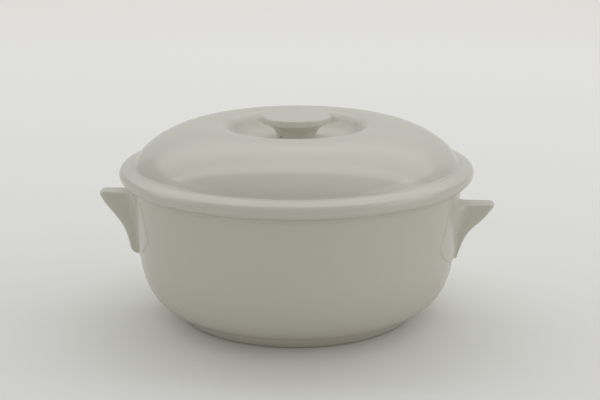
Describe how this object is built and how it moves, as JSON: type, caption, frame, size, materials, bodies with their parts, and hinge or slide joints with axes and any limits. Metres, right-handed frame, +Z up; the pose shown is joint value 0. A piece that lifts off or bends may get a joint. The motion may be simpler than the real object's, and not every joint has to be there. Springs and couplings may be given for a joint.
{
  "type": "lidded casserole",
  "caption": "Round porcelain casserole bowl with two lug handles and a domed lid that lifts off by a recessed disc knob.",
  "frame": {"origin": "centre of the foot ring, on the surface the pot stands on", "axes": "+Z up along the pot's axis, +X towards the lug seen on the right, so both lugs lie on the X axis"},
  "size_m": [0.2595, 0.2298, 0.1314],
  "materials": {
    "glazed_porcelain": "smooth warm white gloss glaze"
  },
  "bodies": {
    "bowl": {"bowl": "glazed_porcelain", "left_handle": "glazed_porcelain", "right_handle": "glazed_porcelain"},
    "lid": {"lid": "glazed_porcelain", "lid_knob": "glazed_porcelain"}
  },
  "joints": [
    {"name": "lid_lift", "type": "slide", "parent": "bowl", "child": "lid", "axis": [0, 0, 1], "range_m": [0, 0.12]}
  ]
}
